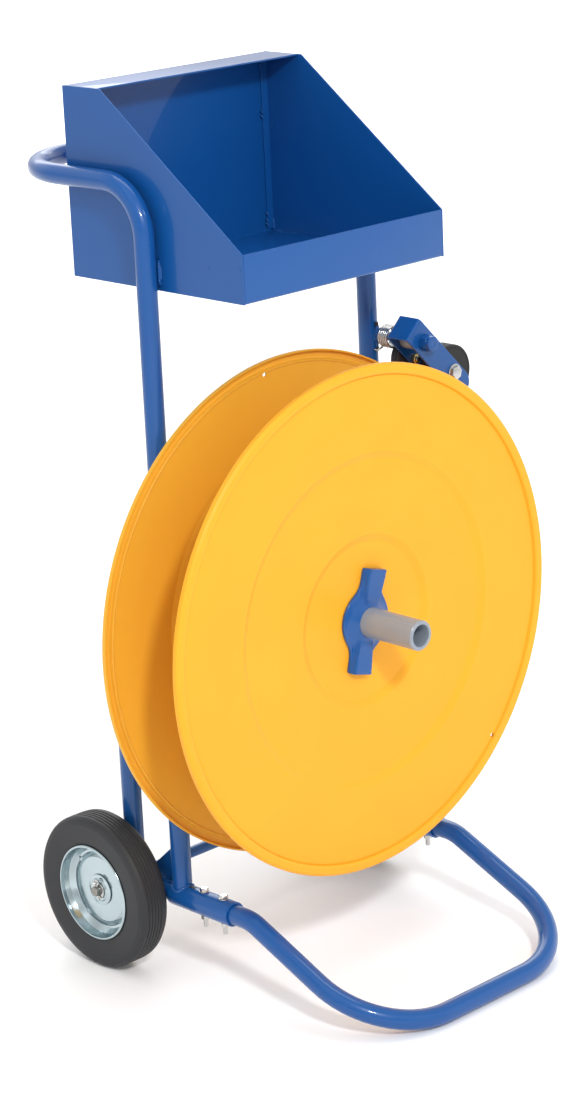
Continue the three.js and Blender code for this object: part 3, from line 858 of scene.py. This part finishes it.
def drilled(obj, at, radius):
    """obj with a hole along Y through it at a point."""
    cutter = rod("cutter", "y", at, radius, -6, 6, BLACK, 0.1, 32)
    cut = obj.modifiers.new("hole", "BOOLEAN")
    cut.object = cutter
    cut.operation = "DIFFERENCE"
    cut.solver = "FAST"
    bpy.context.view_layer.update()
    graph = bpy.context.evaluated_depsgraph_get()
    mesh = bpy.data.meshes.new_from_object(obj.evaluated_get(graph))
    obj.modifiers.clear()
    obj.data = mesh
    bpy.data.objects.remove(cutter)
    return obj


STRAP_HOLE_AT = DISC_R - 17
for name, node, body, y, sign, paint_used, angle in (
    ("front_disc_sheet", "front_disc", "front_disc", FRONT_Y, 1, YELLOW, -0.773),
    ("back_sheet", "back_disc", "reel", BACK_Y, -1, INNER_YELLOW, 1.695),
):
    section = [(r, sign * h) for r, h in disc_section]
    sheet = revolve(name, section, "y", (0, y, REEL_Z), paint_used, 192, 50)
    hole_at = (STRAP_HOLE_AT * math.cos(angle), y, REEL_Z + STRAP_HOLE_AT * math.sin(angle))
    put(drilled(sheet, hole_at, 3), body, node)
put(
    revolve(
        "spindle_tube",
        [
            (14.6, -255.5),
            (17.6, -255.5),
            (SPINDLE_R, -253.8),
            (SPINDLE_R, 47),
            (18.3, 48),
            (14.6, 48),
            (14, 47),
            (14, -254.8),
        ],
        "y",
        reel_at,
        STEEL,
        96,
    ),
    "reel",
    "spindle",
)
hub_flange = ring("flange", "y", reel_at, 55, 19.2, -46.7, -37.3, STEEL, 0.8, 72)
put(hub_flange, "reel", "hub_flange")
collar = ring("collar", "y", reel_at, 28, 19.3, 33.3, 43.3, STEEL, 0.9, 64)
screw = rod("screw", "z", (0, 38.3, REEL_Z), 3, 24, 28.3, BLACK, 0.4, 20)
put(join("spindle_collar_piece", [collar, screw]), "reel", "spindle_collar")
POST_AT = 190
for i in range(3):
    a = math.pi / 2 + i * 2 * math.pi / 3
    at = (POST_AT * math.cos(a), 0, REEL_Z + POST_AT * math.sin(a))
    tube = ring("tube", "y", at, 9.5, 7.9, -160.2, -44.8, YELLOW, 0.4, 32)
    put(tube, "reel", f"core_post_{i + 1}")
    tube.name = f"core_post_{i + 1}_tube"

# ------------------------------------------------------------------ wing nut
NUT_BACK = FRONT_Y + 9 - 0.3
NUT_BORE = SPINDLE_R + 0.35
EAR_TURN = math.radians(15)


def smooth_step(value, low, high):
    t = max(0, min(1, (value - low) / (high - low)))
    return t * t * (3 - 2 * t)


def blend_over(a, b, width):
    """The larger of a and b, with the corner between them filled over a width."""
    near = max(width - abs(a - b), 0) / width
    return max(a, b) + near * near * width / 4


def nut_edge(angle):
    """How far the casting reaches at an angle from the line of its ears."""
    lean = abs((angle + math.pi / 2) % math.pi - math.pi / 2)
    side = 17.5 / max(0.02, math.sin(lean))
    tip = 66.5 / max(0.02, math.cos(lean))
    ear = -blend_over(-side, -tip, 4)
    return blend_over(ear, 39.5, 20)


def nut_height(radius, angle, edge):
    """The casting's height there: a cone round the bore, and ears with a rounded rim."""
    lean = abs((angle + math.pi / 2) % math.pi - math.pi / 2)
    off = radius * math.sin(lean)
    along = radius * math.cos(lean)
    cone = 4.2 + 8.0 * max(0, 1 - (radius - SPINDLE_R) / 19) ** 1.6
    ear = 11.2 + 1.6 * smooth_step(along, 40, 66)
    width = 13.6 + 2.4 * smooth_step(along, 24, 60)
    mask = (1 - smooth_step(off, width - 2.5, width + 1.5)) * smooth_step(along, 17, 30)
    rounding = max(0, 1.6 - (edge - radius))
    drop = 1.6 - math.sqrt(max(0, 1.6**2 - min(1.6, rounding) ** 2))
    return cone * (1 - mask) + ear * mask - drop


around, across = 240, 34
vertices, faces = [], []
nut_at = Vector((0, NUT_BACK, REEL_Z))
for k in range(around):
    angle = 2 * math.pi * k / around
    edge = nut_edge(angle)
    # Angles run clockwise from straight up, as seen from the front.
    turn = angle + EAR_TURN
    out = Vector((math.sin(turn), 0, math.cos(turn)))
    for j in range(across + 1):
        t = j / across
        radius = NUT_BORE + (edge - NUT_BORE) * (1 - (1 - t) ** 1.35)
        vertices.append(nut_at + out * radius - Vector((0, nut_height(radius, angle, edge), 0)))
    vertices.append(nut_at + out * edge - Vector((0, 0.6, 0)))
    vertices.append(nut_at + out * (edge - 0.7))
    vertices.append(nut_at + out * NUT_BORE)
rows = across + 4
for k in range(around):
    a, b = k * rows, (k + 1) % around * rows
    for j in range(rows):
        n = (j + 1) % rows
        faces.append((a + j, a + n, b + n, b + j))
put(make("wing_nut_casting", vertices, faces, BLUE, 60), "wing_nut", "wing_nut")

# ------------------------------------------------------------------ tray
tray_line = fillet(
    [
        (TRAY_FRONT + SHEET / 2, TRAY_LOW + TRAY_LIP),
        (TRAY_FRONT + SHEET / 2, TRAY_LOW + SHEET / 2),
        (TRAY_BACK - SHEET / 2, TRAY_LOW + SHEET / 2),
        (TRAY_BACK - SHEET / 2, TRAY_TOP - SHEET / 2),
        (TRAY_BACK - TRAY_FLANGE, TRAY_TOP - SHEET / 2),
    ],
    2.6,
    5,
)
put(
    plate(
        "tray_sheet",
        [sheet_section(tray_line, SHEET)],
        (0, 0, 0),
        (0, 1, 0),
        (0, 0, 1),
        2 * 168.3,
        BLUE,
        0.2,
    ),
    "frame",
    "tray_shell",
)
panel = [
    (TRAY_FRONT, TRAY_LOW),
    (TRAY_BACK, TRAY_LOW),
    (TRAY_BACK, TRAY_TOP),
    (TRAY_BACK - 68, TRAY_TOP),
    (TRAY_FRONT, TRAY_LOW + TRAY_LIP),
]
for side, s in SIDES:
    side_sheet = plate(
        "panel",
        [fillet(panel, 1.0, 2, True)],
        (s * (TRAY_X - SHEET / 2), 0, 0),
        (0, 1, 0),
        (0, 0, 1),
        SHEET,
        BLUE,
        0.4,
    )
    inner = plate(
        "inner",
        [
            [
                (s * 158.5, TRAY_LOW + 5),
                (s * 169.5, TRAY_LOW + 5),
                (s * 169.5, TRAY_TOP - 2.4),
                (s * 158.5, TRAY_TOP - 2.4),
            ][:: s]
        ],
        (0, TRAY_BACK - 3.2, 0),
        (1, 0, 0),
        (0, 0, 1),
        SHEET,
        BLUE,
    )
    put(join(f"tray_{side}_panel", [side_sheet, inner]), "frame", f"tray_{side}_side")
    # Tack welds down the corner strip, two small blobs at each height.
    for height in (899, 905, 913, 1040, 1046, 1106, 1112):
        lean = 0.8 * math.sin(height)
        for step in (0, 1):
            at = (s * (158.0 - step * 2.2 + lean), TRAY_BACK - 4.0, height + 2.4 * step)
            blob = [(0.1, -2.0), (1.9 - 0.5 * step, -1.2), (1.7 - 0.5 * step, 0.6), (0.1, 1.3)]
            welds.append(revolve("tack", fillet(blob, 0.8, 3, True), "y", at, BLUE, 16))
    inside = s * 168.4
    corner_y = TRAY_BACK - 4.5
    welds.append(bead([(inside, 132, 891.2), (inside, 148, 891.2)], 1.6))
    welds.append(bead([(inside, corner_y, 892), (inside, corner_y, 906)], 1.6))
    # Spot welds, which show as shallow marks through the paint.
    mark = fillet([(0.1, -0.2), (3.4, -0.2), (3.4, 0.25), (2.2, 0.35), (0.1, 0.2)], 0.4, 2, True)
    for place in ((inside, 134, 1027), (s * 170.6, -93, 926), (s * 170.6, -146, 930)):
        welds.append(revolve("spot", mark, "x", place, BLUE, 24))
put(join("weld_beads", welds), "frame")

# ------------------------------------------------------------------ brake arm
ALONG = Vector((math.cos(YOKE_TURN), 0, math.sin(YOKE_TURN)))
ACROSS = Vector((-math.sin(YOKE_TURN), 0, math.cos(YOKE_TURN)))


def on_yoke(a, b, y):
    """A point a along the arm from its square end and b across it, at depth y."""
    return Vector((PIVOT[0], y, PIVOT[1])) + ALONG * (a - 28.5) + ACROSS * b


# The yoke is one strip: a leg with a rounded tip, two square corners and the other leg. A station
# is its outer point (along, y), its inner point (along, y), and half its width.
YOKE_HALF = 17
YOKE_SHEET = 3
CORNER_OUT, CORNER_IN = 5.0, 2.0


def corner_station(degrees, centre_y, way):
    """A station on a corner's round, at an angle from the leg."""
    along, off = math.sin(math.radians(degrees)), way * math.cos(math.radians(degrees))
    outer = (CORNER_OUT - CORNER_OUT * along, centre_y + CORNER_OUT * off)
    inner = (CORNER_OUT - CORNER_IN * along, centre_y + CORNER_IN * off)
    return (*outer, *inner, YOKE_HALF)


tip_angles = [math.radians(t) for t in range(80, -1, -8)]
leg = [(121 + YOKE_HALF * math.sin(a), YOKE_HALF * math.cos(a)) for a in tip_angles]
leg += [(a, YOKE_HALF) for a in (100, 60, 20)]
front_centre, rear_centre = YOKE_FRONT + CORNER_OUT, YOKE_REAR - CORNER_OUT
stations = [(a, YOKE_FRONT, a, YOKE_FRONT + YOKE_SHEET, d) for a, d in leg]
stations += [corner_station(15 * k, front_centre, -1) for k in range(7)]
stations += [corner_station(90 - 15 * k, rear_centre, 1) for k in range(7)]
stations += [(a, YOKE_REAR, a, YOKE_REAR - YOKE_SHEET, d) for a, d in leg[::-1]]
vertices, faces = [], []
for oa, oy, ia, iy, d in stations:
    vertices += [on_yoke(oa, -d, oy), on_yoke(oa, d, oy), on_yoke(ia, d, iy), on_yoke(ia, -d, iy)]
for k in range(len(stations) - 1):
    a, b = 4 * k, 4 * k + 4
    for j in range(4):
        n = (j + 1) % 4
        faces.append((a + j, a + n, b + n, b + j))
faces.append((3, 2, 1, 0))
end = 4 * (len(stations) - 1)
faces.append((end, end + 1, end + 2, end + 3))
put(bevel(make("brake_yoke_sheet", vertices, faces, BLUE, 35), 0.5), "brake_arm", "brake_yoke")

pivot = (PIVOT[0], 0, PIVOT[1])
pivot_pieces = [
    hexagon("hex", "y", pivot, 19, -90.8, -100.6, BLUE, 1.2, 0.2),
    rod("end", "y", pivot, 9.8, -105.8, -99, BLUE, 1.2, 40),
    rod("shank", "y", pivot, 6, -99, -13.1, STEEL, 0.5, 32),
]
put(join("pivot_bolt_piece", pivot_pieces), "frame", "brake_pivot_bolt")
put(
    ring("pivot_sleeve_piece", "y", pivot, 11, 6.3, -87.2, -56.8, STEEL, 0.6, 48),
    "brake_arm",
    "pivot_sleeve",
)


def boss_end(p):
    return Vector((p.x, -math.sqrt(max(0, TUBE_R**2 - (p.x - SIDE_X) ** 2)), p.z))


BOSS_X = PIVOT[0] - 1.5
BOSS_R = 9.0
boss_line = bend([(BOSS_X, -17.6, PIVOT[1]), (BOSS_X, -5, PIVOT[1])], [])
boss = sweep("brake_boss_piece", boss_line, BOSS_R, BLUE, 40, last=boss_end)
put(bevel(boss, 0.8), "frame", "brake_boss")
weld_r = BOSS_R + 0.8
boss_weld = round_bead(boss_end, (BOSS_X, 0, PIVOT[1]), (weld_r, 0, 0), (0, 0, weld_r), 2.2)
put(boss_weld, "frame")
boss_weld.name = "boss_weld"

pin_at = (186.7, -15.6, PIVOT[1])
pin = [
    rod("middle", "z", pin_at, 1.7, -15, 15, BLUE, 0.3, 20),
    rod("low", "z", pin_at, 2.3, -19, -13.5, BLACK, 0.6, 20),
    rod("high", "z", pin_at, 2.3, 13.5, 19, BLACK, 0.6, 20),
]
put(join("spring_pin_piece", pin), "frame", "spring_pin")

# The torsion spring, and the hook at its lower end that goes round the pin.
COIL_R = 13.8
COIL_LONG = 17
coil_points = []
turns, steps = 5.0, 240
for k in range(steps + 1):
    a = -math.pi / 2 + 2 * math.pi * turns * k / steps
    x, z = PIVOT[0] + COIL_R * math.cos(a), PIVOT[1] + COIL_R * math.sin(a)
    coil_points.append(Vector((x, -20.0 - COIL_LONG * k / steps, z)))
hook = [
    Vector((PIVOT[0] - 5, -19.6, PIVOT[1] - 14.6)),
    Vector((PIVOT[0] - 9.5, -19.6, PIVOT[1] - 16.2)),
    Vector((PIVOT[0] - 12.6, -17.6, PIVOT[1] - 17.0)),
    Vector((PIVOT[0] - 12.8, -14.4, PIVOT[1] - 16.4)),
]
spring_points = hook[::-1] + coil_points
spring_line = [
    (spring_points[min(i + 1, len(spring_points) - 1)] - spring_points[max(i - 1, 0)]).normalized()
    for i in range(len(spring_points))
]
put(
    sweep("brake_spring_wire", (spring_points, spring_line), 1.35, BRIGHT, 12),
    "frame",
    "brake_spring",
)


def rubber_profile(radius, low, high, grooves):
    """A small rubber wheel's outline: a shallow ring on each face and grooves round the tread."""
    face = ((5, 0), (4.4, 0.6), (3.6, 0), (1, 0), (0, 1.2))
    groove = ((0, -0.5), (0.7, -0.2), (0.7, 0.2), (0, 0.5))
    outline = [(4.3, low)] + [(radius - d, low + h) for d, h in face]
    for k in range(grooves):
        middle = low + (high - low) * (k + 1) / (grooves + 1)
        outline += [(radius - d, middle + h) for d, h in groove]
    outline += [(radius - d, high - h) for d, h in face[::-1]]
    return outline + [(4.3, high)]


roller = on_yoke(101.5, 3.5, 0)
outline = rubber_profile(GUIDE_ROLLER_R, -85.9, -63.2, 4)
put(
    revolve("guide_roller_tyre", outline, "y", roller, RUBBER, 96, 30),
    "guide_roller",
    "guide_roller",
)
put(
    join(
        "roller_bolt_piece",
        [
            ring("washer", "y", roller, 11.4, 4.2, -92.0, -90.7, BRIGHT, 0.4, 40),
            hexagon("head", "y", roller, 16, -92.0, -96.6, BRIGHT, 1.1, 0.25),
            rod("shank", "y", roller, 4, -91, -42.6, BRIGHT, 0.5, 28),
        ],
    ),
    "brake_arm",
    "guide_roller_bolt",
)
put(
    hexagon("roller_nut_piece", "y", roller, 15, -53.2, -46.4, BRIGHT, 0.9, 0.4),
    "brake_arm",
    "guide_roller_nut",
)
low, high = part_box("brake_wheel")
brake_wheel = Vector(((low[0] + high[0]) / 2 / MM, 0, (low[2] + high[2]) / 2 / MM))
outline = rubber_profile(BRAKE_WHEEL_R, -51.4, -37.6, 2)
put(
    revolve("brake_wheel_tyre", outline, "y", brake_wheel, RUBBER, 80, 30),
    "brake_arm",
    "brake_wheel",
)
put(
    join(
        "brake_wheel_bolt_piece",
        [
            rod("shank", "y", brake_wheel, 4, -64.5, -36, BRIGHT, 0.8, 28),
            hexagon("head", "y", brake_wheel, 12, -37.2, -32.3, BRIGHT, 0.9, 0.1),
        ],
    ),
    "brake_arm",
    "brake_wheel_bolt",
)
put(
    hexagon("brake_wheel_nut_piece", "y", brake_wheel, 12, -56.9, -62.6, BRASS, 0.9, 0.3),
    "brake_arm",
    "brake_wheel_nut",
)

# ------------------------------------------------------------------ floor, light and camera
floor_mesh = bpy.data.meshes.new("floor")
floor_mesh.from_pydata([(-30, -30, 0), (30, -30, 0), (30, 30, 0), (-30, 30, 0)], [], [(0, 1, 2, 3)])
floor = bpy.data.objects.new("floor", floor_mesh)
scene.collection.objects.link(floor)
floor_mesh.materials.append(node_material("floor_white", (0.97, 0.97, 0.97), 0.0, 0.9)[0])
floor.location.z = -0.0005

world = bpy.data.worlds.new("studio")
scene.world = world
world.use_nodes = True
background = world.node_tree.nodes["Background"]
background.inputs["Color"].default_value = (1, 1, 1, 1)
direction = world.node_tree.nodes.new("ShaderNodeTexCoord")
patches = world.node_tree.nodes.new("ShaderNodeTexNoise")
patches.inputs["Scale"].default_value = 1.7
patches.inputs["Detail"].default_value = 1.5
world.node_tree.links.new(direction.outputs["Generated"], patches.inputs["Vector"])
world.node_tree.links.new(
    ramp(world.node_tree, patches.outputs["Fac"], 0.45, 1.35), background.inputs["Strength"]
)


def soft_light(name, place, target, size, power):
    data = bpy.data.lights.new(name, "AREA")
    data.shape = "RECTANGLE"
    data.size, data.size_y = size
    data.energy = power
    light = bpy.data.objects.new(name, data)
    scene.collection.objects.link(light)
    light.location = place
    light.rotation_euler = (Vector(target) - Vector(place)).to_track_quat("-Z", "Y").to_euler()


soft_light("key", (-1.9, -3.6, 3.4), (0, 0, 0.5), (0.5, 0.5), 115)
soft_light("top", (0.4, 0.2, 3.6), (0, 0, 0.6), (2.4, 1.2), 25)
soft_light("wash", (7, 7.5, 5), (7, 7.5, 0), (10, 10), 700)

CAMERA_AT = (-2450.28, -2604.22, 1609.08)
camera_data = bpy.data.cameras.new("camera")
camera_data.sensor_fit = "VERTICAL"
camera_data.sensor_width = 36
camera_data.sensor_height = 36
camera_data.lens = 96.76
camera_data.clip_end = 200
camera = bpy.data.objects.new("camera", camera_data)
scene.collection.objects.link(camera)
scene.camera = camera
azimuth, elevation, roll = (math.radians(t) for t in (-43.60, 16.86, -2.66))
back = Vector(
    (
        math.sin(azimuth) * math.cos(elevation),
        -math.cos(azimuth) * math.cos(elevation),
        math.sin(elevation),
    )
)
right = (-back).cross(Vector((0, 0, 1))).normalized()
up = right.cross(-back)
rolled_right = right * math.cos(roll) + up * math.sin(roll)
rolled_up = up * math.cos(roll) - right * math.sin(roll)
basis = Matrix((rolled_right, rolled_up, back)).transposed().to_4x4()
camera.matrix_world = Matrix.Translation(row(CAMERA_AT)) @ basis

scene.view_settings.view_transform = "Standard"
scene.view_settings.look = "None"
